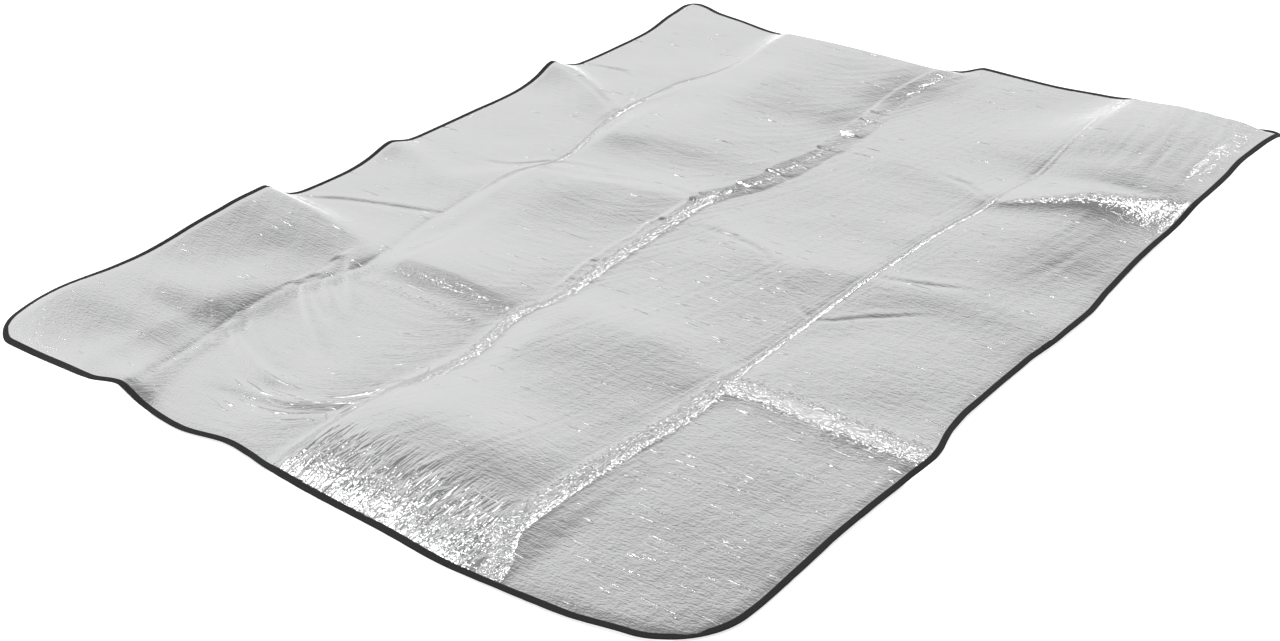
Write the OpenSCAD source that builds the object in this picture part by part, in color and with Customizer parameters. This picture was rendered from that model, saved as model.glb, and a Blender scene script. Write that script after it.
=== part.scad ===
/* [Sheet] */
// Width of the open mat, along X
mat_w = 1500; // [1200:10:1800]
// Length of the open mat, along Y
mat_l = 2000; // [1800:10:2200]
// Thickness of the closed-cell foam core
foam_t = 2.5; // [2:0.5:4]
// Thickness of the aluminised film bonded on top of the foam
film_t = 0.2; // [0.1:0.1:0.4]
// Radius of the sheet's corner at the front, on the left
front_left_r = 65; // [40:5:100]
// Radius of the sheet's corner at the front, on the right
front_right_r = 115; // [60:5:120]
// Radius of the sheet's two corners at the far edge
far_r = 50; // [40:5:100]

/* [Cross creases, where the mat folds] */
// Length of the first panel, from the front edge to the high ridge
panel_0_l = 590; // [480:5:620]
// Length of the second panel, from the high ridge to the trough
panel_1_l = 400; // [380:5:520]
// Length of the third panel, from the trough to the low ridge
panel_2_l = 510; // [450:5:520]
// Height of the high ridge as the mat lies open
high_ridge_h = 46; // [20:1:55]
// Height of the low ridge as the mat lies open
low_ridge_h = 16; // [8:1:30]
// How far each panel stops short of its fold line
crease_setback = 1.5; // [1:0.25:3]

/* [Long creases, pressed into the foam] */
// Distance from the left edge to the first long crease
crease_a_x = 345; // [300:5:400]
// Distance from the left edge to the middle long crease
crease_b_x = 725; // [650:5:800]
// Distance from the left edge to the last long crease
crease_c_x = 1140; // [1050:5:1200]
// Width of the groove that a long crease leaves under the foam
groove_w = 4; // [2:0.5:8]
// Depth of that groove
groove_d = 0.9; // [0.4:0.1:1.5]

/* [Edge binding] */
// Width of the tape seen on each face, after it is folded over the edge
tape_w = 12; // [8:0.5:16]
// Thickness of the tape
tape_t = 0.6; // [0.4:0.1:1]
// Length of the lap where the tape's two ends meet
lap_l = 26; // [15:1:40]
// Distance from the trough crease to the lap
lap_offset = 12; // [8:1:40]
// Width of the line of sewing thread
thread_w = 0.6; // [0.4:0.1:1]
// Distance from the tape's inner edge to the thread
thread_inset = 2.5; // [1.5:0.5:4]

/* [Hidden] */
$fn = 96;
overlap = 1;    // how far a cutter runs past what it cuts
sheet_t = foam_t + film_t;
bound_t = sheet_t + 2 * tape_t;    // thickness through the bound edge
thread_h = thread_w / 2;    // how far the thread stands out of the tape
left_x = -mat_w / 2;
front_y = -mat_l / 2;
reach = mat_w;    // runs past the sheet on either side

// The fold lines in plan, from the front edge to the far edge, and the height of the sheet's
// underside at each of them. Panel i runs from line i to line i + 1.
fold_y = [front_y, front_y + panel_0_l, front_y + panel_0_l + panel_1_l,
          front_y + panel_0_l + panel_1_l + panel_2_l, -front_y];
fold_z = [0, high_ridge_h, 0, low_ridge_h, 0];
last = len(fold_y) - 2;
groove_x = [crease_a_x, crease_b_x, crease_c_x];

// The slope of panel i, and its length measured along that slope.
function slope(i) = atan((fold_z[i + 1] - fold_z[i]) / (fold_y[i + 1] - fold_y[i]));
function panel_l(i) = (fold_y[i + 1] - fold_y[i]) / cos(slope(i));
// How far along panel i the tapes of the two ends run round their corners.
function corner_l(i) = (i == 0 ? front_right_r : far_r) + tape_w;

// Puts a panel, laid out flat, on its slope. Y 0 is its near fold line, Z 0 the tape's underside.
module on_slope(i)
    translate([0, fold_y[i], fold_z[i]])
        rotate([slope(i), 0, 0])
            children();

// One quarter of the rounded outline, from the middle of the sheet to a corner of radius r.
module outline_quarter(x_sign, y_sign, inset, r)
    scale([x_sign, y_sign]) {
        square([mat_w / 2 - r, mat_l / 2 - inset]);
        square([mat_w / 2 - inset, mat_l / 2 - r]);
        translate([mat_w / 2 - r, mat_l / 2 - r])
            circle(r = r - inset);
    }

// The sheet's outline, drawn in by inset, laid out for panel i. A negative inset gives the
// tape's outer edge. The first panel keeps the front corners and the last panel the far ones.
module outline(i, inset = 0)
    translate([0, i == 0 ? mat_l / 2 : i == last ? panel_l(i) - mat_l / 2 : 0]) {
        outline_quarter(-1, -1, inset, front_left_r);
        outline_quarter(1, -1, inset, front_right_r);
        outline_quarter(-1, 1, inset, far_r);
        outline_quarter(1, 1, inset, far_r);
    }

// What panel i holds of the outline, stopping short of its fold lines.
module panel_outline(i, inset = 0) {
    from = i == 0 ? -tape_w : crease_setback;
    to = i == last ? panel_l(i) + tape_w : panel_l(i) - crease_setback;
    intersection() {
        outline(i, inset);
        translate([-reach, from])
            square([2 * reach, to - from]);
    }
}

// The closed-cell foam of one panel, with the long creases pressed into its underside.
module foam_core(i)
    color("gainsboro")
        on_slope(i)
            translate([0, 0, tape_t])
                difference() {
                    linear_extrude(foam_t)
                        panel_outline(i);
                    for (x = groove_x)
                        translate([left_x + x, -overlap, 0])
                            long_groove(panel_l(i) + 2 * overlap);
                }

// The V-shaped groove of a long crease, cut up into the underside along Y.
module long_groove(length)
    rotate([-90, 0, 0])
        linear_extrude(length)
            polygon([[-groove_w / 2, overlap], [-groove_w / 2, 0], [0, -groove_d],
                     [groove_w / 2, 0], [groove_w / 2, overlap]]);

// The aluminised film bonded on the top face of one panel.
module foil_film(i)
    color("silver")
        on_slope(i)
            translate([0, 0, tape_t + foam_t])
                linear_extrude(film_t)
                    panel_outline(i);

// The tape of one panel: a channel folded over the sheet's edge and both of its faces.
module tape_channel(i)
    difference() {
        linear_extrude(bound_t)
            panel_outline(i, -tape_t);
        translate([0, 0, -overlap])
            linear_extrude(bound_t + 2 * overlap)
                outline(i, tape_w);
        translate([0, 0, tape_t])
            linear_extrude(sheet_t)
                outline(i);
    }

// The tape along the left (side -1) or the right (side 1) edge of one panel.
module binding_side(i, side) {
    from = i == 0 ? corner_l(i) : 0;
    to = i == last ? panel_l(i) - corner_l(i) : panel_l(i);
    color("#202020")
        on_slope(i)
            intersection() {
                tape_channel(i);
                translate([side < 0 ? -reach : 0, from, -overlap])
                    cube([reach, to - from, bound_t + 2 * overlap]);
            }
}

// The tape across the front edge (panel 0) or the far edge (the last panel), with its corners.
module binding_end(i)
    color("#202020")
        on_slope(i)
            intersection() {
                tape_channel(i);
                translate([-reach, i == 0 ? -tape_w : panel_l(i) - corner_l(i), -overlap])
                    cube([2 * reach, corner_l(i) + tape_w, bound_t + 2 * overlap]);
            }

// The end of the tape, lapped over its beginning on the right edge. The stitching runs through it.
module binding_lap()
    color("#2a2a2a")
        on_slope(1)
            difference() {
                translate([mat_w / 2 + tape_t - tape_w, panel_l(1) - lap_offset - lap_l, bound_t])
                    cube([tape_w, lap_l, tape_t]);
                stitch_line(1);
            }

// The path of the lockstitch on the tape's top face.
module stitch_line(i)
    translate([0, 0, bound_t])
        linear_extrude(thread_h)
            difference() {
                panel_outline(i, tape_w - thread_inset - thread_w);
                outline(i, tape_w - thread_inset);
            }

// The thread that holds the tape on one panel.
module thread(i)
    color("dimgray")
        on_slope(i)
            stitch_line(i);

for (i = [0 : last]) {
    foam_core(i);
    foil_film(i);
    binding_side(i, -1);
    binding_side(i, 1);
    thread(i);
}
binding_end(0);  // binding_front
binding_end(last);  // binding_far
binding_lap();
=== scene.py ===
"""A foil-faced foam sleeping mat, lying open and creased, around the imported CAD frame.

Plan positions are in metres from the mat's nominal front left corner: x runs to the right along the
front edge and y away from it. Heights are in metres above the ground.
"""

import math

import bpy
import numpy as np
from mathutils import Matrix, Vector


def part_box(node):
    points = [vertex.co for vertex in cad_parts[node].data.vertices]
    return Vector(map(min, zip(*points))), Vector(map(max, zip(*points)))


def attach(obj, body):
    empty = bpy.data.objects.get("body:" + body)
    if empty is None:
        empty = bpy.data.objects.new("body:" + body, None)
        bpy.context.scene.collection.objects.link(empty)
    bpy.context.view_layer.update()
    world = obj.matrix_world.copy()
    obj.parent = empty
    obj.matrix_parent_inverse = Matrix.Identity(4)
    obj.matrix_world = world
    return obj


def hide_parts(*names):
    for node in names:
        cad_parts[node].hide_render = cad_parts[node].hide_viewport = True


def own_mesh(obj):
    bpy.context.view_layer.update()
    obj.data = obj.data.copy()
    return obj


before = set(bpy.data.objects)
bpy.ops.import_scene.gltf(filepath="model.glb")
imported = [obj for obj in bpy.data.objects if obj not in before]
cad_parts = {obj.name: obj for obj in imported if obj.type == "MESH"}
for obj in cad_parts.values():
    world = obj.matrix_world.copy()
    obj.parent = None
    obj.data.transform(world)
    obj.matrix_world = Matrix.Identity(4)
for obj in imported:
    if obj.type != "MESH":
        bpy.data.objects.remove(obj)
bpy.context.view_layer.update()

# ---------------------------------------------------------------- sizes

MAT_W = 1.5
MAT_L = 2.0
FOAM_T = 0.0025
FILM_T = 0.0002
TAPE_W = 0.0102
TAPE_T = 0.0006
LIFT = 0.0012  # the least height of the foam's underside above the ground
STITCH_L = 0.0042
LAP_L = 0.026
LAP_OFFSET = 0.012  # from the trough's crease to the lap
CORNER_R = {"front_left": 0.052, "front_right": 0.1, "far_left": 0.05, "far_right": 0.035}

ROWS = [3, 2, 1, 0]
BODY = {row: f"panel_{row}" for row in ROWS}


def fold_lines():
    """The plan y of the panels' ends, from the CAD: the film's nodes meet at the fold lines."""
    ends = []
    for row in range(3):
        ends.append((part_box(f"foil_film_{row}")[1][1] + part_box(f"foil_film_{row + 1}")[0][1]) / 2)
    return [0.0] + [y + MAT_L / 2 for y in ends] + [MAT_L]


FOLD_Y = fold_lines()


# ---------------------------------------------------------------- small maths

def smooth(low, high, x):
    """0 below low, 1 above high, and an even S between them."""
    t = np.clip((x - low) / (high - low), 0, 1)
    return t * t * (3 - 2 * t)


def window(low, full, fall, high, x):
    """1 from full to fall, 0 below low and above high, and an even S on either side."""
    return smooth(low, full, x) * (1 - smooth(fall, high, x))


def curve(table, x, column=1):
    """A smooth curve through (position, value, ...) rows: cubic, with the tangents kept level at extremes."""
    px = np.array([row[0] for row in table], float)
    py = np.array([row[column] for row in table], float)
    step = np.diff(px)
    rise = np.diff(py) / step
    tangent = np.zeros_like(py)
    same = rise[:-1] * rise[1:] > 0
    mean = 2 * rise[:-1] * rise[1:] / np.where(same, rise[:-1] + rise[1:], 1)
    tangent[1:-1] = np.where(same, mean, 0)
    x = np.clip(x, px[0], px[-1])
    i = np.clip(np.searchsorted(px, x) - 1, 0, len(step) - 1)
    t = (x - px[i]) / step[i]
    return (py[i] * (1 + 2 * t) * (1 - t) ** 2 + py[i + 1] * t * t * (3 - 2 * t)
            + step[i] * (tangent[i] * t * (1 - t) ** 2 + tangent[i + 1] * t * t * (t - 1)))


def noise(x, y, size_x, size_y, seed, sharp=False):
    """Value noise from -1 to 1 on a seeded lattice; sharp leaves straight facets between its points."""
    period = 64
    shift = 200
    lattice = np.random.default_rng(seed).uniform(-1, 1, (period, period))
    gx, gy = x / size_x + shift, y / size_y + shift
    ix, iy = np.floor(gx).astype(int), np.floor(gy).astype(int)
    tx, ty = gx - ix, gy - iy
    if not sharp:
        tx, ty = tx * tx * (3 - 2 * tx), ty * ty * (3 - 2 * ty)
    low_x, high_x = ix % period, (ix + 1) % period
    low_y, high_y = iy % period, (iy + 1) % period
    a, b = lattice[low_x, low_y], lattice[high_x, low_y]
    c, d = lattice[low_x, high_y], lattice[high_x, high_y]
    return (a * (1 - tx) + b * tx) * (1 - ty) + (c * (1 - tx) + d * tx) * ty


def folded_noise(x, y, size_x, size_y, seed):
    """Noise whose zero lines are sharp crests, as film crumples. From -0.6 to 1, and 1 at the crests."""
    return 1 - np.abs(noise(x, y, size_x, size_y, seed, sharp=True)) * 1.6


# ---------------------------------------------------------------- the lie of the mat

# How far each edge strays from the nominal rectangle: to the right or away from the front is positive.
# The left and right edges are (y, x) and the front and far ones (x, y).
LEFT_EDGE = [(0.0, -0.014), (0.08, -0.019), (0.15, -0.007), (0.24, 0.003), (0.32, 0.001), (0.5, -0.003),
             (0.61, -0.005), (0.7, 0.017), (0.8, 0.023), (0.95, 0.006), (1.0, 0.019), (1.13, 0.025),
             (1.3, 0.033), (1.4, 0.025), (1.48, 0.013), (1.53, 0.046), (1.6, 0.051), (1.75, 0.055),
             (1.9, 0.032), (2.0, 0.02)]
RIGHT_EDGE = [(0.0, 0.006), (0.14, 0.0145), (0.3, 0.0135), (0.4, 0.0165), (0.5, 0.022), (0.56, 0.0285),
              (0.65, 0.0095), (0.72, 0.0035), (0.8, 0.0035), (0.9, 0.005), (1.0, 0.015), (1.1, 0.0165),
              (1.2, 0.008), (1.4, 0.0015), (1.52, 0.007), (1.6, 0.0105), (1.7, 0.0085), (1.8, 0.002),
              (1.9, 0.004), (2.0, 0.01)]
FRONT_EDGE = [(0.0, -0.016), (0.06, -0.023), (0.18, -0.028), (0.28, -0.034), (0.34, -0.02), (0.4, -0.026),
              (0.5, -0.036), (0.6, -0.022), (0.65, -0.027), (0.7, -0.035), (0.8, -0.044), (0.95, -0.0515),
              (1.1, -0.062), (1.2, -0.058), (1.3, -0.052), (1.4, -0.034), (1.5, -0.02)]
FAR_EDGE = [(0.0, 0.0), (0.06, -0.012), (0.12, -0.033), (0.19, -0.046), (0.32, -0.071), (0.5, -0.075),
            (0.72, -0.07), (0.79, -0.055), (0.83, -0.005), (1.0, -0.014), (1.1, -0.005), (1.2, -0.02),
            (1.3, -0.024), (1.42, -0.022), (1.5, 0.002)]

# The lengthwise creases: (y, x) from the front edge to the far edge.
CREASE_A = [(-0.05, 0.36), (0.1, 0.325), (0.34, 0.3), (0.55, 0.355), (0.76, 0.32), (0.94, 0.32),
            (1.09, 0.352), (1.35, 0.305), (1.54, 0.31), (1.7, 0.36), (2.0, 0.335)]
CREASE_B = [(-0.05, 0.7), (0.12, 0.69), (0.2, 0.725), (0.37, 0.735), (0.54, 0.71), (0.63, 0.735),
            (0.82, 0.718), (1.07, 0.716), (1.24, 0.765), (1.45, 0.788), (1.7, 0.782), (2.0, 0.8)]
CREASE_C = [(-0.05, 1.165), (0.07, 1.115), (0.26, 1.118), (0.44, 1.134), (0.8, 1.131), (1.2, 1.143),
            (1.37, 1.166), (1.6, 1.185), (2.0, 1.17)]

# Crests that run across the mat: (x, y, height, reach towards the front, reach towards the far edge).
CROSS_CRESTS = [
    [(-0.06, 0.617, 0.037, 0.22, 0.034), (0.1, 0.612, 0.0275, 0.22, 0.036), (0.2, 0.6, 0.0165, 0.2, 0.045),
     (0.3, 0.58, 0.007, 0.12, 0.05), (0.36, 0.575, 0.005, 0.04, 0.06), (0.42, 0.585, 0.014, 0.046, 0.14),
     (0.52, 0.585, 0.0155, 0.046, 0.17), (0.62, 0.58, 0.013, 0.044, 0.15), (0.72, 0.57, 0.008, 0.044, 0.1),
     (0.8, 0.58, 0.012, 0.15, 0.09), (0.92, 0.585, 0.01, 0.18, 0.09), (1.04, 0.58, 0.006, 0.18, 0.08),
     (1.13, 0.57, 0.004, 0.1, 0.06), (1.2, 0.582, 0.004, 0.05, 0.14), (1.36, 0.575, 0.005, 0.055, 0.17),
     (1.56, 0.565, 0.006, 0.055, 0.17)],
    [(-0.06, 0.955, 0.013, 0.05, 0.03), (0.06, 0.95, 0.008, 0.05, 0.04), (0.2, 0.9, 0.003, 0.05, 0.05),
     (0.3, 0.97, 0.006, 0.1, 0.05), (0.36, 1.0, 0.014, 0.16, 0.05), (0.45, 1.01, 0.017, 0.18, 0.06),
     (0.58, 1.05, 0.012, 0.18, 0.06), (0.7, 1.06, 0.006, 0.16, 0.06), (0.78, 1.03, 0.004, 0.1, 0.06),
     (1.0, 0.96, 0.004, 0.1, 0.06), (1.15, 1.0, 0.003, 0.05, 0.05), (1.56, 1.0, 0.004, 0.1, 0.1)],
    [(0.31, 1.27, 0.0, 0.05, 0.18), (0.37, 1.26, 0.01, 0.06, 0.18), (0.48, 1.29, 0.009, 0.075, 0.18),
     (0.6, 1.3, 0.0055, 0.08, 0.18), (0.72, 1.32, 0.002, 0.08, 0.16), (0.8, 1.33, 0.0, 0.06, 0.1)],
    [(-0.06, 1.475, 0.021, 0.07, 0.02), (0.05, 1.465, 0.016, 0.07, 0.028), (0.18, 1.41, 0.009, 0.07, 0.04),
     (0.28, 1.36, 0.003, 0.06, 0.05), (0.36, 1.56, 0.004, 0.1, 0.1), (0.48, 1.6, 0.006, 0.13, 0.12),
     (0.64, 1.62, 0.004, 0.13, 0.12), (0.78, 1.58, 0.001, 0.1, 0.1), (0.95, 1.46, 0.002, 0.06, 0.06),
     (1.1, 1.425, 0.004, 0.04, 0.06), (1.17, 1.4, 0.0045, 0.03, 0.08), (1.25, 1.44, 0.008, 0.044, 0.2),
     (1.36, 1.505, 0.0145, 0.055, 0.28), (1.56, 1.58, 0.021, 0.078, 0.3)],
    [(0.3, 1.9, 0.0, 0.16, 0.02), (0.38, 1.895, 0.02, 0.24, 0.022), (0.5, 1.89, 0.025, 0.3, 0.024),
     (0.68, 1.89, 0.0225, 0.3, 0.024), (0.76, 1.9, 0.0145, 0.26, 0.024), (0.83, 1.92, 0.003, 0.2, 0.03),
     (0.88, 1.92, 0.0, 0.14, 0.03),
     (1.14, 1.96, 0.0, 0.2, 0.02), (1.21, 1.955, 0.009, 0.26, 0.014), (1.33, 1.953, 0.018, 0.3, 0.012),
     (1.43, 1.955, 0.017, 0.3, 0.013), (1.49, 1.96, 0.007, 0.26, 0.015), (1.56, 1.965, 0.005, 0.2, 0.02)],
]

# Crests that run along the mat: (y, x, height, reach to the left, reach to the right).
LONG_CRESTS = [
    [(-0.06, 0.34, 0.022, 0.16, 0.05), (0.0, 0.33, 0.02, 0.15, 0.05), (0.05, 0.31, 0.012, 0.13, 0.05),
     (0.12, 0.27, 0.004, 0.11, 0.05), (0.2, 0.24, 0.0015, 0.12, 0.09), (0.28, 0.235, 0.011, 0.13, 0.075),
     (0.35, 0.25, 0.009, 0.14, 0.09), (0.43, 0.28, 0.003, 0.12, 0.1), (0.52, 0.33, 0.0, 0.1, 0.08)],
    [(0.0, -0.05, 0.0, 0.1, 0.18), (0.14, -0.05, 0.013, 0.1, 0.17), (0.4, -0.03, 0.016, 0.1, 0.14),
     (0.52, -0.02, 0.006, 0.1, 0.1), (0.6, -0.02, 0.0, 0.1, 0.1)],
    [(0.95, 1.33, 0.0, 0.12, 0.14), (1.12, 1.33, 0.003, 0.16, 0.14), (1.24, 1.33, 0.007, 0.16, 0.13),
     (1.38, 1.34, 0.012, 0.16, 0.12), (1.47, 1.35, 0.013, 0.14, 0.1), (1.56, 1.36, 0.0, 0.1, 0.08)],
    [(1.5, 1.3, 0.0, 0.1, 0.18), (1.62, 1.24, 0.016, 0.14, 0.21), (1.76, 1.21, 0.026, 0.12, 0.25),
     (1.88, 1.21, 0.021, 0.08, 0.26), (1.96, 1.21, 0.016, 0.07, 0.26), (2.02, 1.21, 0.014, 0.07, 0.26)],
]

# The domes behind the front edge, as (x, y, height): each face falls ever more steeply to the edge.
FRONT_DOME = [(0.67, 0.14, 0.0), (0.73, 0.16, 0.022), (0.82, 0.17, 0.026), (0.93, 0.16, 0.0235),
              (1.03, 0.14, 0.016), (1.11, 0.11, 0.009), (1.17, 0.1, 0.003), (1.22, 0.1, 0.0)]
LEFT_DOME = [(-0.08, 0.1, 0.014), (0.02, 0.12, 0.02), (0.12, 0.13, 0.0175), (0.22, 0.12, 0.01),
             (0.34, 0.1, 0.0)]
FRONT_DOME_FALL = 2.8
LEFT_DOME_FALL = 3.2


def crest(across, along, table):
    """A crest along one direction whose place, height and reach change smoothly, from a table's rows."""
    fade = 0.03
    sharpness = 1.9
    place, height = curve(table, along, 1), curve(table, along, 2)
    reach_low, reach_high = curve(table, along, 3), curve(table, along, 4)
    first, last = table[0][0], table[-1][0]
    inside = window(first - fade, first, last, last + fade, along)
    t = across - place
    reach = np.where(t < 0, reach_low, reach_high)
    return inside * height * np.exp(-(np.abs(t) / reach) ** sharpness)


def front_dome(x, y, table, fall):
    """A dome whose face falls to the front edge. The higher fall is, the closer to the edge it drops."""
    far_reach = 0.14
    place, height = curve(table, x, 1), curve(table, x, 2)
    inside = window(table[0][0], table[1][0], table[-2][0], table[-1][0], x)
    start = curve(FRONT_EDGE, x)
    t = np.clip((y - start) / (place - start), 0, 1)
    near = 1 - (1 - t) ** fall
    far = np.exp(-(np.clip(y - place, 0, None) / far_reach) ** 2)
    return inside * height * np.where(y < place, near, far)


def fan_line(x, y):
    """The distance coordinate across the fan of wrinkles that hangs from the first long crease."""
    return y - 1.6 * (x - 0.55) ** 2 - 3.6 * np.clip(x - 0.57, 0, None) ** 2


# Sagging wrinkles between the first two long creases, then faint creases elsewhere: (x, y, depth).
FAN_GROOVES = [
    [(0.315, 0.214, 0.003), (0.376, 0.179, 0.007), (0.439, 0.15, 0.0075), (0.514, 0.131, 0.005),
     (0.6, 0.135, 0.0)],
    [(0.303, 0.273, 0.002), (0.356, 0.236, 0.005), (0.415, 0.206, 0.004), (0.493, 0.179, 0.002),
     (0.56, 0.173, 0.0)],
    [(0.299, 0.396, 0.004), (0.363, 0.349, 0.0085), (0.443, 0.295, 0.006), (0.538, 0.25, 0.0)],
    [(0.311, 0.441, 0.003), (0.361, 0.405, 0.006), (0.422, 0.367, 0.003), (0.5, 0.335, 0.0)],
    [(0.3, 0.513, 0.003), (0.361, 0.46, 0.006), (0.412, 0.417, 0.003), (0.46, 0.39, 0.0)],
    [(0.43, 0.085, 0.0), (0.5, 0.082, 0.003), (0.58, 0.09, 0.004), (0.66, 0.13, 0.002), (0.7, 0.17, 0.0)],
]
FAINT_CREASES = [
    [(0.77, 1.0, 0.001), (0.905, 0.983, 0.002), (1.036, 0.895, 0.002), (1.13, 0.83, 0.001)],
    [(1.14, 1.01, 0.001), (1.24, 1.035, 0.002), (1.34, 1.062, 0.0)],
    [(1.14, 0.825, 0.001), (1.22, 0.885, 0.002), (1.32, 0.945, 0.0)],
    [(1.0, 1.45, 0.0), (1.09, 1.436, 0.002), (1.16, 1.4, 0.001)],
    [(0.2, 1.0, 0.0), (0.27, 1.01, 0.002), (0.36, 1.08, 0.002), (0.5, 1.1, 0.001), (0.7, 1.1, 0.001)],
    [(0.03, 1.47, 0.002), (0.14, 1.43, 0.0035), (0.24, 1.38, 0.003), (0.31, 1.34, 0.001)],
    [(0.05, 1.53, 0.001), (0.16, 1.54, 0.003), (0.25, 1.47, 0.003), (0.31, 1.36, 0.001)],
    [(0.0, 0.66, 0.001), (0.12, 0.71, 0.003), (0.24, 0.75, 0.003), (0.33, 0.77, 0.001)],
]


def grooves(x, y, tables, width):
    """Narrow valleys along the tables' curves, each with a low swell behind it."""
    fade = 0.01
    total = np.zeros_like(x)
    for table in tables:
        first, last = table[0][0], table[-1][0]
        inside = window(first - fade, first, last, last + fade, x)
        t = (y - curve(table, x, 1)) / width
        total += inside * curve(table, x, 2) * (0.5 * np.exp(-((t - 1.9) / 1.6) ** 2) - np.exp(-t * t))
    return total


def crease_distance(x, y, table):
    """How far a point is to the right of a lengthwise crease."""
    return x - curve(table, y)


def dome_weight(x, y):
    """Where gathers run up from the front edge over the dome behind it, from 0 to 1."""
    return window(0.68, 0.76, 1.08, 1.16, x) * (1 - smooth(-0.01, 0.14, y))


def along_weight(x, y):
    """Where the film is crushed into streaks that run along the mat, from 0 to 1."""
    a = crease_distance(x, y, CREASE_A)
    b = crease_distance(x, y, CREASE_B)
    c = crease_distance(x, y, CREASE_C)
    at_a = 0.55 * np.exp(-(a / 0.006) ** 2) * window(0.85, 1.0, 1.5, 1.8, y)
    at_b = 0.5 * np.exp(-(b / 0.012) ** 2) * window(0.2, 0.3, 1.0, 1.15, y)
    wide = 0.014 - 0.009 * smooth(0.5, 0.66, y)
    strength = 1 - 0.45 * smooth(0.55, 0.66, y) - 0.35 * smooth(1.35, 1.45, y)
    at_c = strength * np.exp(-((c - 0.004) / wide) ** 2)
    dome = 0.2 * dome_weight(x, y) * (1 - smooth(0.0, 0.06, y))
    return np.clip(at_a + at_b + at_c + dome, 0, 1)


def across_weight(x, y):
    """Where the film is crushed into streaks that run across the mat, from 0 to 1."""
    crest_1 = y - curve(CROSS_CRESTS[0], x, 1)
    crest_4 = y - curve(CROSS_CRESTS[3], x, 1)
    b = crease_distance(x, y, CREASE_B)
    right = smooth(1.12, 1.15, x) * np.exp(-((crest_1 + 0.012) / 0.024) ** 2)
    wide = 0.008 + 0.07 * np.clip(x - 1.16, 0, None)
    strip = 0.5 * smooth(1.16, 1.22, x) * np.exp(-((crest_4 / wide + 0.9) ** 2))
    foot = 0.25 * window(0.37, 0.4, 0.64, 0.7, x) * np.exp(-((crest_1 + 0.09) / 0.014) ** 2)
    band = 0.2 * np.exp(-((b + 0.004) / 0.022) ** 2) * window(1.0, 1.1, 1.5, 1.8, y)
    return np.clip(right + strip + foot + band, 0, 1)


def line_weight(x, y):
    """Where long thin lines run across the mat, from 0 to 1."""
    crest_1 = y - curve(CROSS_CRESTS[0], x, 1)
    right = smooth(1.12, 1.16, x) * np.exp(-((crest_1 + 0.045) / 0.026) ** 2)
    front = 0.35 * smooth(1.12, 1.2, x) * window(-0.05, 0.05, 0.5, 0.55, y)
    fan_foot = window(0.44, 0.54, 0.7, 0.76, x) * np.exp(-((fan_line(x, y) - 0.11) / 0.06) ** 2)
    middle = 0.25 * window(0.74, 0.8, 1.05, 1.15, x) * window(0.6, 0.7, 1.0, 1.15, y)
    return np.clip(right + front + fan_foot + middle, 0, 1)


def tooth_profile(y):
    """The middle crease's row of pinched folds, as a share of full height: each rises sharply, then sinks."""
    length = 0.098
    rise = 0.07
    notch = 0.68
    phase = y / length + 0.6 * noise(y, 0 * y, 0.13, 1, 51)
    tooth = np.floor(phase)
    share = phase - tooth
    size = 0.6 + 0.4 * np.modf(np.abs(np.sin(tooth * 12.9898) * 43.758))[0]  # scattered, one a fold
    up = share / rise
    down = (1 - share) / (1 - rise)
    return size * (notch + (1 - notch) * np.where(share < rise, up, down))


def middle_folds(x, y):
    """The middle crease's pinched folds: a run of facets that face the right, cut by shallow notches."""
    height = 0.0125
    d = crease_distance(x, y, CREASE_B) + 0.004
    strength = 0.3 * smooth(0.62, 0.75, y) + 0.7 * smooth(0.98, 1.12, y)
    strength = strength * (1 - 0.85 * smooth(1.5, 1.7, y)) * (1 - smooth(1.88, 1.94, y))
    wide = 0.027 + 0.006 * noise(y, 0 * y, 0.05, 1, 52)
    facet = smooth(-1.25, -0.95, d / wide) * np.clip((1 - d / wide) / 2, 0, 1)
    return strength * facet * height * tooth_profile(y - 0.3 * d)


def side_ripples(x, y):
    """Long soft ripples that run along the mat near its right edge, in the two far rows."""
    far = smooth(1.16, 1.32, x) * smooth(1.56, 1.72, y)
    near = smooth(1.28, 1.42, x) * window(1.08, 1.2, 1.4, 1.5, y)
    bent = x + 0.35 * (y - 1.6) ** 2
    wave = noise(bent, y, 0.02, 0.24, 61) + 0.4 * noise(bent, y, 0.009, 0.12, 62)
    return 0.0013 * wave * np.clip(far + 0.35 * near, 0, 1)


def dome_wrinkles(x, y):
    """Gathers that run up from the front edge over the dome behind it."""
    lean = x - 0.3 * y
    wave = 0.0022 * noise(lean, y, 0.013, 0.09, 71) + 0.0012 * noise(lean, y, 0.0065, 0.05, 72)
    return dome_weight(x, y) * wave


def line_creases(x, y):
    """The sharp lines of the long creases: shallow valleys, and a dip to the right of the last one."""
    c = crease_distance(x, y, CREASE_C)
    dip = window(-0.008, 0.016, 0.016, 0.14, c)
    total = -0.0012 * dip * (1 - smooth(0.56, 0.64, y))
    valleys = ((CREASE_A, 0.0018, 0.01), (CREASE_B, 0.0015, 0.014), (CREASE_C, 0.0015, 0.008))
    for table, depth, width in valleys:
        t = np.abs(crease_distance(x, y, table)) / width
        total -= depth * np.exp(-t ** 1.2)
    return total


def base_height(x, y):
    """The height of the foam's underside above the ground, without the film's own crumples."""
    settling = 0.002  # how softly the lows meet the ground
    z = np.zeros_like(x)
    for table in CROSS_CRESTS:
        z = z + crest(y, x, table)
    for table in LONG_CRESTS:
        z = z + crest(x, y, table)
    z = z + front_dome(x, y, FRONT_DOME, FRONT_DOME_FALL) + front_dome(x, y, LEFT_DOME, LEFT_DOME_FALL)
    z = z + 0.0022 + 0.002 * noise(x, y, 0.23, 0.19, 5) + 0.001 * noise(x, y, 0.1, 0.08, 6)
    return 0.5 * (z + np.sqrt(z * z + settling ** 2)) + LIFT


def foam_depth(inset):
    """The foam's thickness, pinched by the tape along the sheet's edge."""
    return FOAM_T * (0.5 + 0.5 * smooth(0.006, 0.024, inset))


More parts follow.
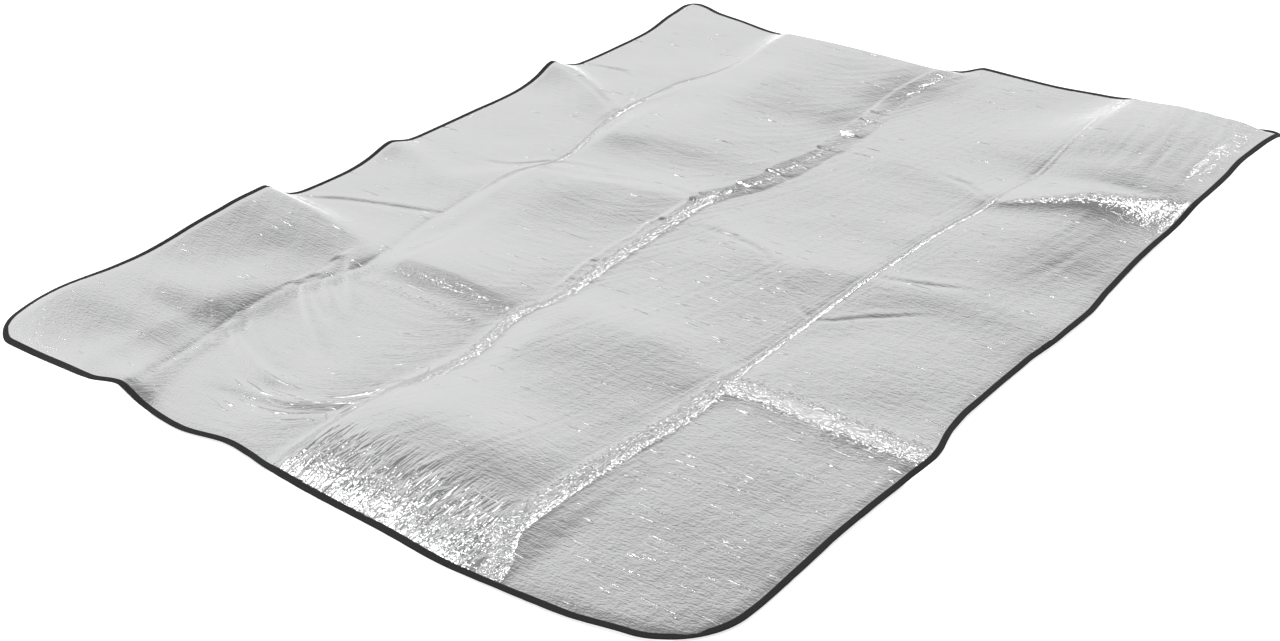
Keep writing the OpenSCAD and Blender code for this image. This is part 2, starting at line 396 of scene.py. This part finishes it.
def film_relief(x, y, inset):
    """What the film adds to the foam's own height: creases, crumples and wrinkles. None under the tape."""
    weight = np.clip(along_weight(x, y) + across_weight(x, y), 0, 1)
    crumple = folded_noise(x, y, 0.019, 0.012, 31) - 0.8
    crumple = crumple + 0.5 * folded_noise(x + 0.3 * y, y, 0.009, 0.007, 32)
    ripple = 0.0002 * noise(x, fan_line(x, y), 0.07, 0.011, 33) + 0.00012 * noise(x, y, 0.045, 0.009, 34)
    folds = 0.75 * grooves(x, y, FAN_GROOVES, 0.013) + 0.6 * grooves(x, y, FAINT_CREASES, 0.008)
    relief = line_creases(x, y) + folds + middle_folds(x, y) + 0.0004 * weight * crumple + ripple
    relief = relief + side_ripples(x, y) + dome_wrinkles(x, y)
    return relief * smooth(0.009, 0.024, inset)


# ---------------------------------------------------------------- the sheet's grid

def spread(low, high, centres, fine, coarse, reach):
    """Positions from low to high, fine apart near the centres and coarse apart elsewhere."""
    samples = np.linspace(low, high, 4001)
    gap = np.full_like(samples, coarse)
    for c in centres:
        gap = np.minimum(gap, fine + (coarse - fine) * smooth(reach * 0.6, reach, np.abs(samples - c)))
    count = np.concatenate([[0], np.cumsum((1 / gap[:-1] + 1 / gap[1:]) / 2 * np.diff(samples))])
    total = max(2, int(round(count[-1])))
    return np.interp(np.arange(total + 1) * count[-1] / total, count, samples)


def round_corner(x, y, corner):
    """Moves the points of one square corner onto its rounded outline."""
    r = CORNER_R[corner]
    side_x, side_y = (-1 if "left" in corner else 1), (-1 if "front" in corner else 1)
    centre_x = r if side_x < 0 else MAT_W - r
    centre_y = r if side_y < 0 else MAT_L - r
    p, q = (x - centre_x) / r * side_x, (y - centre_y) / r * side_y
    inside = (p > 0) & (q > 0)
    p, q = np.clip(p, 0, 1), np.clip(q, 0, 1)
    new_x = centre_x + side_x * r * p * np.sqrt(1 - q * q / 2)
    new_y = centre_y + side_y * r * q * np.sqrt(1 - p * p / 2)
    return np.where(inside, new_x, x), np.where(inside, new_y, y)


def plan(x, y):
    """Where a point of the flat rectangle lies in plan, with rounded corners and wandering edges."""
    for corner in CORNER_R:
        x, y = round_corner(x, y, corner)
    fade = 0.38
    near_left = np.clip(1 - x / fade, 0, 1) ** 2
    near_right = np.clip(1 - (MAT_W - x) / fade, 0, 1) ** 2
    near_front = np.clip(1 - y / fade, 0, 1) ** 2
    near_far = np.clip(1 - (MAT_L - y) / fade, 0, 1) ** 2
    new_x = x + curve(LEFT_EDGE, y) * near_left + curve(RIGHT_EDGE, y) * near_right
    new_y = y + curve(FRONT_EDGE, x) * near_front + curve(FAR_EDGE, x) * near_far
    return new_x, new_y


def to_world(x, y, z):
    """World coordinates of plan positions, whose origin is the mat's front left corner."""
    return np.stack([x - MAT_W / 2, y - MAT_L / 2, z], -1)


# ---------------------------------------------------------------- meshes

def new_piece(name, verts, faces, material, uvs=None, values=None, crease_angle=50):
    """A mesh object. uvs maps a layer's name to one (u, v) a vertex, and values a name to one number."""
    mesh = bpy.data.meshes.new(name)
    mesh.from_pydata(np.asarray(verts, float).tolist(), [], [list(f) for f in faces])
    mesh.update()
    loops = np.empty(len(mesh.loops), int)
    mesh.loops.foreach_get("vertex_index", loops)
    for layer, coords in (uvs or {}).items():
        uv = mesh.uv_layers.new(name=layer)
        uv.data.foreach_set("uv", np.asarray(coords, np.float32)[loops].ravel())
    for layer, numbers in (values or {}).items():
        attribute = mesh.attributes.new(layer, "FLOAT", "POINT")
        attribute.data.foreach_set("value", np.asarray(numbers, np.float32))
    mesh.polygons.foreach_set("use_smooth", [True] * len(mesh.polygons))
    mesh.set_sharp_from_angle(angle=math.radians(crease_angle))
    piece = bpy.data.objects.new(name, mesh)
    bpy.context.scene.collection.objects.link(piece)
    mesh.materials.append(material)
    return piece


def grid_faces(nx, ny, first=0, flip=False):
    """The quads of an nx by ny grid of vertices, numbered along y first."""
    i, j = np.meshgrid(np.arange(nx - 1), np.arange(ny - 1), indexing="ij")
    a = first + i * ny + j
    quads = np.stack([a, a + ny, a + ny + 1, a + 1], -1).reshape(-1, 4)
    return quads[:, ::-1] if flip else quads


def rim(nx, ny):
    """The grid's boundary vertices in order, anticlockwise from above."""
    front = [i * ny for i in range(nx)]
    right = [(nx - 1) * ny + j for j in range(1, ny)]
    far = [i * ny + ny - 1 for i in range(nx - 2, -1, -1)]
    left = [j for j in range(ny - 2, 0, -1)]
    return np.array(front + right + far + left)


def slab(top, bottom, nx, ny):
    """The vertices and faces of a closed slab between two grids of the same size."""
    edge = rim(nx, ny)
    following = np.roll(edge, -1)
    walls = np.stack([edge + nx * ny, following + nx * ny, following, edge], -1)
    faces = np.concatenate([grid_faces(nx, ny), grid_faces(nx, ny, nx * ny, flip=True), walls])
    return np.concatenate([top.reshape(-1, 3), bottom.reshape(-1, 3)]), faces


def lowest_near(z, reach):
    """Each point's lowest value within reach steps along both directions."""
    for axis in (0, 1):
        padded = np.pad(z, [(reach, reach) if k == axis else (0, 0) for k in (0, 1)], mode="edge")
        views = [np.take(padded, range(k, k + z.shape[axis]), axis) for k in range(2 * reach + 1)]
        z = np.minimum.reduce(views)
    return z


def row_grid(row):
    """The plan positions of one row's grid, and how far each point is from the sheet's edge."""
    low, high = FOLD_Y[row], FOLD_Y[row + 1]
    middles = [curve(table, (low + high) / 2) for table in (CREASE_A, CREASE_B, CREASE_C)]
    xs = spread(0, MAT_W, middles, 0.0026, 0.0052, 0.06)
    centres = [y for y in (0.0, FOLD_Y[1], FOLD_Y[3], MAT_L) if low - 0.05 < y < high + 0.05]
    coarse = 0.0047 * (high - low) / 0.59
    ys = spread(low, high, centres, min(0.0034, coarse), coarse, 0.08)
    flat_x, flat_y = np.meshgrid(xs, ys, indexing="ij")
    inset = np.minimum.reduce([flat_x, MAT_W - flat_x, flat_y, MAT_L - flat_y])
    return (*plan(flat_x, flat_y), inset)


def grain_uv(x, y):
    """The film's grain runs across the mat, and bends along the fan of wrinkles."""
    inside = (smooth(0.0, 0.05, crease_distance(x, y, CREASE_A))
              * (1 - smooth(-0.04, 0.02, crease_distance(x, y, CREASE_B))) * (1 - smooth(0.5, 0.6, y)))
    right = smooth(1.1, 1.2, x) * smooth(0.4, 0.5, y) * (1 - smooth(0.65, 0.75, y))
    bent = y + inside * (fan_line(x, y) - y) + right * (0.575 - curve(CROSS_CRESTS[0], x, 1))
    return np.stack([x, bent], -1).reshape(-1, 2)


def build_row(row, film_material, foam_material):
    """The film and the foam of one row."""
    x, y, inset = row_grid(row)
    base = base_height(x, y)
    least_depth = 0.0012  # of foam, however deep the film's creases are
    film_low = base + foam_depth(inset) + film_relief(x, y, inset)
    film_low = np.maximum(film_low, base + least_depth)
    film = build_film(row, x, y, film_low, film_material)
    foam = build_foam(row, x, y, base, film_low, foam_material)
    return film, foam


def build_film(row, x, y, film_low, material):
    """The film of one row, from its grid and the height of its underside."""
    verts, faces = slab(to_world(x, y, film_low + FILM_T), to_world(x, y, film_low), *x.shape)
    plain = np.stack([x, y], -1).reshape(-1, 2)
    masks = {"along": along_weight(x, y), "across": across_weight(x, y), "lines": line_weight(x, y),
             "gathers": dome_weight(x, y)}
    return new_piece(f"foil_film_row_{row}", verts, faces, material,
                     {"sheet": np.tile(plain, (2, 1)), "grain": np.tile(grain_uv(x, y), (2, 1))},
                     {name: np.tile(mask.ravel(), 2) for name, mask in masks.items()})


def build_foam(row, x, y, base, film_low, material):
    """The foam of one row, on every third line of the film's grid, kept clear under the film."""
    step = 3
    clear = 0.0001
    least_depth = 0.001
    keep_x = np.unique(np.append(np.arange(0, x.shape[0], step), x.shape[0] - 1))
    keep_y = np.unique(np.append(np.arange(0, x.shape[1], step), x.shape[1] - 1))
    pick = np.ix_(keep_x, keep_y)
    under = lowest_near(base, step)[pick]
    over = np.maximum(lowest_near(film_low, step)[pick] - clear, under + least_depth)
    x, y = x[pick], y[pick]
    verts, faces = slab(to_world(x, y, over), to_world(x, y, under), *x.shape)
    plain = np.stack([x, y], -1).reshape(-1, 2)
    return new_piece(f"foam_core_row_{row}", verts, faces, material, {"sheet": np.tile(plain, (2, 1))})


# ---------------------------------------------------------------- the binding and its stitching

def edge_path(corners, gap):
    """Stations along the sheet's edge through flat points, gap apart: place, outward direction, run."""
    flat = []
    for (x0, y0), (x1, y1) in zip(corners, corners[1:]):
        count = max(2, int(math.hypot(x1 - x0, y1 - y0) / 0.001))
        share = np.arange(count) / count
        flat.append(np.stack([x0 + (x1 - x0) * share, y0 + (y1 - y0) * share], -1))
    flat = np.concatenate(flat + [[corners[-1]]])
    line = np.stack(plan(flat[:, 0], flat[:, 1]), -1)
    run = np.concatenate([[0], np.cumsum(np.linalg.norm(np.diff(line, axis=0), axis=1))])
    stations = np.linspace(0, run[-1], max(3, int(round(run[-1] / gap)) + 1))
    line = np.stack([np.interp(stations, run, line[:, k]) for k in (0, 1)], -1)
    along = np.gradient(line, stations, axis=0)
    along /= np.linalg.norm(along, axis=1)[:, None]
    return line, np.stack([along[:, 1], -along[:, 0]], -1), stations


def tape_face(line, outward, inset, side, lift, pucker=0.0):
    """Points on the tape's upper (side 1) or lower (side -1) face, inset from the edge."""
    inset = np.broadcast_to(inset, (len(line), 1))
    place = line - outward * inset
    z = base_height(place[:, 0], place[:, 1])
    if side > 0:
        z = z + foam_depth(inset)[..., 0] + FILM_T
    return to_world(place[:, 0], place[:, 1], z + side * (lift + pucker))


def tape_pucker(line, inset):
    """The small gathers that the stitching draws into the tape."""
    x, y = line[:, 0], line[:, 1]
    gathers = noise(x, y, 0.011, 0.011, 41) * 0.0003 + noise(x, y, 0.04, 0.04, 42) * 0.0002
    return (0.0003 + gathers) * math.sin(math.pi * min(1.0, max(0.0, inset / TAPE_W)))


def tape_width(line):
    """The tape's width on a face, which varies a little as it was sewn."""
    return TAPE_W + 0.0007 * noise(line[:, 0], line[:, 1], 0.07, 0.07, 43)


def lip_lift(share):
    """How far the tape's outside lies from the sheet: less at its lip, where share is 1."""
    if share == 1.0:
        return TAPE_T * 0.45
    if share > 0.9:
        return TAPE_T * 0.92
    return TAPE_T


def swept_ring(layers, run, measured_at):
    """A closed ring of layers carried along a run: vertices, and their places on the flat tape.

    The station measured_at gives the distances round the ring.
    """
    verts = np.stack(layers, 1)
    girth = np.linalg.norm(np.diff(verts[measured_at], axis=0), axis=1)
    across = np.concatenate([[0], np.cumsum(girth)])
    uv = np.stack(np.meshgrid(run, across, indexing="ij"), -1).reshape(-1, 2)
    return verts, uv


def swept_corners(count, sides):
    """The four corners of each face of a swept ring: this station and the next, this side and the next."""
    i, j = np.meshgrid(np.arange(count - 1), np.arange(sides), indexing="ij")
    a, b = i * sides + j, i * sides + (j + 1) % sides
    return a, b, a + sides, b + sides


def build_binding(corners, material, name):
    """A strip of tape folded over the sheet's edge: a thin channel with rounded lips and a round back."""
    line, outward, run = edge_path(corners, 0.004)
    width = tape_width(line)[:, None]
    clear = 0.00008
    shares = (1.0, 0.985, 0.75, 0.45, 0.15, 0.0)
    outer, inner = [], []
    for share in shares:
        inset = share * width
        pucker = tape_pucker(line, share * TAPE_W)
        outer.append(tape_face(line, outward, inset, 1, lip_lift(share), pucker))
        inner.append(tape_face(line, outward, inset, 1, clear, pucker * 0.6))
    low_outer, low_inner = [], []
    for share in shares[::-1]:
        inset = share * width
        low_outer.append(tape_face(line, outward, inset, -1, lip_lift(share)))
        low_inner.append(tape_face(line, outward, inset, -1, clear))
    sideways = np.concatenate([outward, np.zeros((len(line), 1))], 1)
    bulge = 0.0005 + 0.0003 * noise(line[:, 0], line[:, 1], 0.014, 0.014, 44)[:, None]
    back_outer, back_inner = [], []
    for turn in (0.25, 0.5, 0.75):
        push = math.sin(math.pi * turn)
        outer_chord = outer[-1] * (1 - turn) + low_outer[0] * turn
        inner_chord = inner[-1] * (1 - turn) + low_inner[0] * turn
        back_outer.append(outer_chord + sideways * (TAPE_T + bulge) * push)
        back_inner.append(inner_chord + sideways * (clear + bulge * 0.5) * push)
    ring = outer + back_outer + low_outer + (inner + back_inner + low_inner)[::-1]
    verts, uv = swept_ring(ring, run, len(line) // 2)
    count, sides = verts.shape[:2]
    a, b, next_a, next_b = swept_corners(count, sides)
    faces = np.stack([a, next_a, next_b, b], -1).reshape(-1, 4).tolist()
    half = sides // 2
    for end, turned in ((0, False), ((count - 1) * sides, True)):
        for k in range(half - 1):
            quad = [end + k, end + k + 1, end + sides - 2 - k, end + sides - 1 - k]
            faces.append(quad[::-1] if turned else quad)
    return new_piece(name, verts.reshape(-1, 3), faces, material, {"tape": uv})


def build_lap(material):
    """The tape's end, lapped over its beginning on the right edge."""
    far = FOLD_Y[2] - LAP_OFFSET
    line, outward, run = edge_path([(MAT_W, far - LAP_L), (MAT_W, far)], 0.002)
    margin = 0.0002
    shares = (0.0, 0.3, 0.7, 1.0)
    low, high = [], []
    for share in shares:
        inset = margin + share * (TAPE_W - 2 * margin)
        lip = 0.2 if share in (0.0, 1.0) else 0.0
        low.append(tape_face(line, outward, inset, 1, TAPE_T * 1.1 + 0.0003))
        high.append(tape_face(line, outward, inset, 1, TAPE_T * (2.0 - lip) + 0.0003))
    verts, uv = swept_ring(high + low[::-1], run, 0)
    count, sides = verts.shape[:2]
    a, b, next_a, next_b = swept_corners(count, sides)
    faces = np.stack([a, b, next_b, next_a], -1).reshape(-1, 4).tolist()
    last = (count - 1) * sides
    faces.append(list(range(sides))[::-1])
    faces.append(list(range(last, last + sides)))
    return new_piece("binding_lap_end", verts.reshape(-1, 3), faces, material, {"tape": uv})


def build_stitches(row, paths, material):
    """The lockstitch along the tape, on both faces: short rounded stitches that dip into the tape."""
    # Each stitch is a row of rings: how far along it, and how fat there.
    shape = ((-0.5, 0.25), (-0.36, 0.85), (0.0, 1.0), (0.36, 0.85), (0.5, 0.25))
    sides = 6
    turns = np.arange(sides) * 2 * math.pi / sides
    shown_l = 0.0031
    half_wide, half_high = 0.00028, 0.00024
    inset = TAPE_W - 0.0028
    rings = []
    for corners in paths:
        line, outward, _ = edge_path(corners, STITCH_L)
        middle, normal = (line[:-1] + line[1:]) / 2, outward[:-1]
        along = np.stack([-normal[:, 1], normal[:, 0]], -1)
        for side in (1, -1):
            for share, fat in shape:
                spot = middle + along * share * shown_l
                lift = TAPE_T * np.where(on_lap(spot, side), 2.4, 1.3) - 0.00005
                centre = tape_face(spot, normal, inset, side, lift, tape_pucker(spot, inset))
                swing = half_wide * fat * np.cos(turns)[None, :, None] * normal[:, None, :]
                rise = np.broadcast_to(half_high * fat * np.sin(turns)[None, :, None], (len(spot), sides, 1))
                rings.append(centre[:, None, :] + np.concatenate([swing, rise], -1))
    verts, faces, first = [], [], 0
    for start in range(0, len(rings), len(shape)):
        stitch = np.stack(rings[start:start + len(shape)], 1)
        verts.append(stitch.reshape(-1, 3))
        base = first + np.arange(len(stitch)) * sides * len(shape)
        faces.extend(stitch_faces(base, len(shape), sides))
        first += len(stitch) * sides * len(shape)
    polygons = [face for block in faces for face in block.tolist()]
    return new_piece(f"stitches_row_{row}", np.concatenate(verts), polygons, material, crease_angle=80)


def on_lap(spot, side):
    """Whether points on the tape's face lie on the lap, where the stitches ride higher."""
    from_middle = np.abs(spot[:, 1] - (FOLD_Y[2] - LAP_OFFSET - LAP_L / 2))
    return (side > 0) & (spot[:, 0] > MAT_W - 0.1) & (from_middle < LAP_L / 2 + 0.002)


def stitch_faces(base, rings, sides):
    """The faces of stitches whose first vertices are base: quads between their rings, and two caps."""
    blocks = []
    for ring in range(rings - 1):
        for turn in range(sides):
            a, b = ring * sides + turn, ring * sides + (turn + 1) % sides
            blocks.append(base[:, None] + np.array([a, a + sides, b + sides, b]))
    blocks.append(base[:, None] + np.arange(sides))
    blocks.append(base[:, None] + (rings - 1) * sides + np.arange(sides)[::-1])
    return blocks


# ---------------------------------------------------------------- materials

def node_material(name):
    """A new material: its node tree, and its Principled shader."""
    material = bpy.data.materials.new(name)
    material.use_nodes = True
    tree = material.node_tree
    return material, tree, tree.nodes["Principled BSDF"]


def add(tree, kind, inputs=None, **settings):
    """A new node with settings, and with inputs set to numbers or linked from sockets."""
    node = tree.nodes.new(kind)
    for key, value in settings.items():
        setattr(node, key, value)
    for key, value in (inputs or {}).items():
        if isinstance(value, bpy.types.NodeSocket):
            tree.links.new(value, node.inputs[key])
        else:
            node.inputs[key].default_value = value
    return node


def scaled_uv(tree, layer, scale):
    """Texture coordinates from a UV layer, which is in metres, scaled per metre."""
    uv = add(tree, "ShaderNodeUVMap", uv_map=layer)
    return add(tree, "ShaderNodeMapping", {"Vector": uv.outputs[0], "Scale": scale}).outputs[0]


def math_node(tree, operation, a, b):
    """The output of a Math node."""
    return add(tree, "ShaderNodeMath", {0: a, 1: b}, operation=operation).outputs[0]


def ramp(tree, value, low, high, out_low=0.0, out_high=1.0):
    """A value taken from one range to another, and held at the new range's ends."""
    node = add(tree, "ShaderNodeMapRange", {"Value": value, "From Min": low, "From Max": high,
                                            "To Min": out_low, "To Max": out_high})
    return node.outputs[0]


def streaks(tree, layer, scale, detail=2.0, roughness=0.6, distortion=0.3):
    """Noise stretched by its scales per metre along a UV layer's two directions."""
    inputs = {"Vector": scaled_uv(tree, layer, scale), "Scale": 1.0, "Detail": detail, "Roughness": roughness,
              "Distortion": distortion}
    return add(tree, "ShaderNodeTexNoise", inputs).outputs[0]


def crests(tree, value):
    """Turns noise round 0.5 into sharp crests along its middle level."""
    centred = math_node(tree, "SUBTRACT", value, 0.5)
    return math_node(tree, "SUBTRACT", 0.5, math_node(tree, "ABSOLUTE", centred, 0.0))


def mix_colours(tree, shader, first, second, factor):
    """Gives a shader a base colour that varies from the first to the second colour."""
    mix = add(tree, "ShaderNodeMix", {"A": first, "B": second, "Factor": factor}, data_type="RGBA")
    tree.links.new(mix.outputs["Result"], shader.inputs["Base Color"])


def film_finish():
    """Aluminised film: bright and satin, with a crinkled grain, thin sharp lines and crushed creases."""
    material, tree, shader = node_material("aluminised_film")
    masks = {name: add(tree, "ShaderNodeAttribute", attribute_name=name).outputs["Fac"]
             for name in ("along", "across", "lines", "gathers")}
    dashes = math_node(tree, "ADD", streaks(tree, "grain", (11, 120, 1), 1.0, 0.4, 0.15),
                       math_node(tree, "MULTIPLY", masks["lines"], 0.17))
    height = math_node(tree, "MULTIPLY", streaks(tree, "grain", (55, 180, 1), 1.0, 0.5), 0.00045)
    # What is added to the coarse grain, with its depth and where it shows: the fine grain, the thin
    # lines, and the crushed film along the mat, over the dome and across the mat.
    parts = [
        (streaks(tree, "grain", (190, 300, 1), 1.0, 0.5), 0.00045, None),
        (ramp(tree, dashes, 0.72, 0.81), 0.0023, None),
        (crests(tree, streaks(tree, "sheet", (175, 100, 1), 1.0, 0.4)), 0.014, masks["along"]),
        (crests(tree, streaks(tree, "sheet", (120, 20, 1), 1.0, 0.4)), 0.0105, masks["gathers"]),
        (crests(tree, streaks(tree, "grain", (80, 165, 1), 1.0, 0.4)), 0.0085, masks["across"]),
    ]
    for value, depth, mask in parts:
        if mask is not None:
            value = math_node(tree, "MULTIPLY", value, mask)
        height = math_node(tree, "ADD", height, math_node(tree, "MULTIPLY", value, depth))
    bump = add(tree, "ShaderNodeBump", {"Strength": 1.0, "Distance": 1.0, "Height": height})
    tree.links.new(bump.outputs[0], shader.inputs["Normal"])
    cloud = add(tree, "ShaderNodeTexNoise", {"Vector": scaled_uv(tree, "sheet", (9, 12, 1)), "Scale": 1.0,
                                             "Detail": 3.0}).outputs[0]
    crushed = math_node(tree, "ADD", masks["along"], masks["across"])
    rough = math_node(tree, "ADD", ramp(tree, cloud, 0.3, 0.7, 0.17, 0.22),
                      ramp(tree, crushed, 0.1, 1.0, 0.0, 0.08))
    tree.links.new(rough, shader.inputs["Roughness"])
    mix_colours(tree, shader, (0.83, 0.835, 0.84, 1), (0.9, 0.9, 0.9, 1), cloud)
    shader.inputs["Metallic"].default_value = 1.0
    return material


def foam_finish():
    """Closed-cell foam: pale and matte, with fine cells and a faint mottle."""
    material, tree, shader = node_material("closed_cell_foam")
    place = scaled_uv(tree, "sheet", (700, 700, 1))
    cells = add(tree, "ShaderNodeTexVoronoi", {"Vector": place, "Scale": 1.0}, feature="SMOOTH_F1")
    broad = add(tree, "ShaderNodeTexNoise", {"Vector": scaled_uv(tree, "sheet", (60, 60, 1)), "Scale": 1.0,
                                             "Detail": 4.0}).outputs[0]
    fine = add(tree, "ShaderNodeBump", {"Strength": 0.6, "Distance": 0.0004,
                                        "Height": cells.outputs["Distance"]})
    soft = add(tree, "ShaderNodeBump", {"Strength": 0.5, "Distance": 0.001, "Height": broad,
                                        "Normal": fine.outputs[0]})
    tree.links.new(soft.outputs[0], shader.inputs["Normal"])
    mix_colours(tree, shader, (0.70, 0.70, 0.68, 1), (0.80, 0.80, 0.79, 1), broad)
    shader.inputs["Roughness"].default_value = 0.85
    return material


def tape_finish():
    """Woven black tape: fine ribs across it, matte with a faint sheen."""
    material, tree, shader = node_material("woven_tape")
    ribs = add(tree, "ShaderNodeTexWave", {"Vector": scaled_uv(tree, "tape", (1, 1, 1)), "Scale": 260.0,
                                           "Distortion": 1.5, "Detail": 2.0, "Detail Scale": 3.0})
    weave = add(tree, "ShaderNodeTexNoise", {"Vector": scaled_uv(tree, "tape", (900, 1700, 1)), "Scale": 1.0,
                                             "Detail": 2.0}).outputs[0]
    bump = add(tree, "ShaderNodeBump", {"Strength": 0.7, "Distance": 0.0003,
                                        "Height": ribs.outputs["Fac"]})
    fuzz = add(tree, "ShaderNodeBump", {"Strength": 0.5, "Distance": 0.0002, "Height": weave,
                                        "Normal": bump.outputs[0]})
    tree.links.new(fuzz.outputs[0], shader.inputs["Normal"])
    mix_colours(tree, shader, (0.011, 0.011, 0.012, 1), (0.026, 0.026, 0.027, 1), weave)
    shader.inputs["Roughness"].default_value = 0.8
    shader.inputs["Specular IOR Level"].default_value = 0.3
    shader.inputs["Sheen Weight"].default_value = 0.05
    return material


def thread_finish():
    """Dull dark thread, with its twist as slanting ribs."""
    material, tree, shader = node_material("sewing_thread")
    position = add(tree, "ShaderNodeTexCoord").outputs["Object"]
    twist = add(tree, "ShaderNodeTexWave", {"Vector": position, "Scale": 1400.0, "Distortion": 1.0},
                bands_direction="DIAGONAL").outputs["Fac"]
    bump = add(tree, "ShaderNodeBump", {"Strength": 0.6, "Distance": 0.0001, "Height": twist})
    tree.links.new(bump.outputs[0], shader.inputs["Normal"])
    shader.inputs["Base Color"].default_value = (0.03, 0.03, 0.032, 1)
    shader.inputs["Roughness"].default_value = 0.7
    return material


# ---------------------------------------------------------------- floor, lights and camera

def make_stage():
    """A pale floor, lit a little from within so that it stays white."""
    size = 9.0
    mesh = bpy.data.meshes.new("floor")
    corners = [(-size, -size, 0), (size, -size, 0), (size, size, 0), (-size, size, 0)]
    mesh.from_pydata(corners, [], [(0, 1, 2, 3)])
    floor = bpy.data.objects.new("floor", mesh)
    bpy.context.scene.collection.objects.link(floor)
    material, _, shader = node_material("pale_floor")
    shader.inputs["Base Color"].default_value = (0.93, 0.93, 0.93, 1)
    shader.inputs["Roughness"].default_value = 0.9
    shader.inputs["Emission Color"].default_value = (1, 1, 1, 1)
    shader.inputs["Emission Strength"].default_value = 0.7
    mesh.materials.append(material)


def make_sky():
    """A studio round the mat: white low down and darker above, and darker to the right than the left."""
    tilt = 0.35
    world = bpy.data.worlds.new("studio")
    bpy.context.scene.world = world
    world.use_nodes = True
    tree = world.node_tree
    background = tree.nodes["Background"]
    direction = add(tree, "ShaderNodeTexCoord").outputs["Generated"]
    height = add(tree, "ShaderNodeVectorMath", {0: direction, 1: (tilt, 0.0, 1.0)}, operation="DOT_PRODUCT")
    shade = add(tree, "ShaderNodeValToRGB", {"Fac": height.outputs["Value"]})
    stops = shade.color_ramp.elements
    stops[0].position, stops[0].color = 0.0, (0.8, 0.8, 0.8, 1)
    stops[1].position, stops[1].color = 1.0, (0.22, 0.22, 0.22, 1)
    for position, level in ((0.25, 0.78), (0.36, 0.73), (0.5, 0.42), (0.6, 0.2), (0.85, 0.2)):
        stop = stops.new(position)
        stop.color = (level, level, level, 1)
    tree.links.new(shade.outputs[0], background.inputs["Color"])


def make_light(name, power, size, direction):
    """A round lamp, so far off that it lights every part alike: its size in degrees, and where it is."""
    data = bpy.data.lights.new(name, "SUN")
    data.angle = math.radians(size)
    data.energy = power
    light = bpy.data.objects.new(name, data)
    bpy.context.scene.collection.objects.link(light)
    light.rotation_euler = Vector(direction).to_track_quat("Z", "Y").to_euler()


def make_camera():
    """A camera above the front right corner, looking over the mat to the far left."""
    turn, rise, roll = math.radians(38.585), math.radians(29.11), math.radians(-2.108)
    target, distance = np.array([0.13887, -0.3388, 0.0]), 3.2971
    back = np.array([math.sin(turn) * math.cos(rise), -math.cos(turn) * math.cos(rise), math.sin(rise)])
    right = np.cross([0, 0, 1], back)
    right /= np.linalg.norm(right)
    up = np.cross(back, right)
    right, up = (math.cos(roll) * right + math.sin(roll) * up, math.cos(roll) * up - math.sin(roll) * right)
    data = bpy.data.cameras.new("camera")
    data.sensor_width = 36.0
    data.lens = 53.77
    camera = bpy.data.objects.new("camera", data)
    bpy.context.scene.collection.objects.link(camera)
    matrix = np.eye(4)
    matrix[:3] = np.stack([right, up, back, target + back * distance], 1)
    camera.matrix_world = Matrix(matrix.tolist())
    bpy.context.scene.camera = camera


# ---------------------------------------------------------------- the rows on their bodies


def settle(piece, row, slot, *nodes):
    """A row's piece rides on its panel and stands for its CAD nodes, which are hidden; it gets a mesh of its
    own.
    """
    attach(piece, BODY[row])
    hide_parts(*nodes)
    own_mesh(piece)


def tape_paths(row):
    """The tape's runs in one row, as corner points of the flat sheet: name, its nodes, the points."""
    low, high = FOLD_Y[row], FOLD_Y[row + 1]
    left, right = f"binding_left_{row}", f"binding_right_{row}"
    if row == 0:
        points = [(0, high), (0, 0), (MAT_W, 0), (MAT_W, high)]
        return [("binding_row_0", [left, "binding_front", right], points)]
    if row == 3:
        points = [(MAT_W, low), (MAT_W, high), (0, high), (0, low)]
        return [("binding_row_3", [left, "binding_far", right], points)]
    return [(f"binding_row_{row}_left", [left], [(0, high), (0, low)]),
            (f"binding_row_{row}_right", [right], [(MAT_W, low), (MAT_W, high)])]


# ---------------------------------------------------------------- the whole scene

make_camera()
make_stage()
make_sky()
make_light("overhead", 1.1, 22, (0.0, 0.0, 1.0))
make_light("left_lamp", 0.4, 14, (-0.545, -0.02, 0.838))
make_light("far_lamp", 0.35, 14, (0.022, 0.683, 0.73))
bpy.context.scene.view_settings.view_transform = "Standard"

film_material = film_finish()
foam_material = foam_finish()
tape_material = tape_finish()
thread_material = thread_finish()

for row in ROWS:
    film, foam = build_row(row, film_material, foam_material)
    settle(film, row, "foil", f"foil_film_{row}")
    settle(foam, row, "foam", f"foam_core_{row}")
    paths = tape_paths(row)
    for name, nodes, points in paths:
        settle(build_binding(points, tape_material, name), row, "tape", *nodes)
    stitches = build_stitches(row, [points for _, _, points in paths], thread_material)
    settle(stitches, row, "thread", f"thread_{row}")
settle(build_lap(tape_material), 1, "tape", "binding_lap")
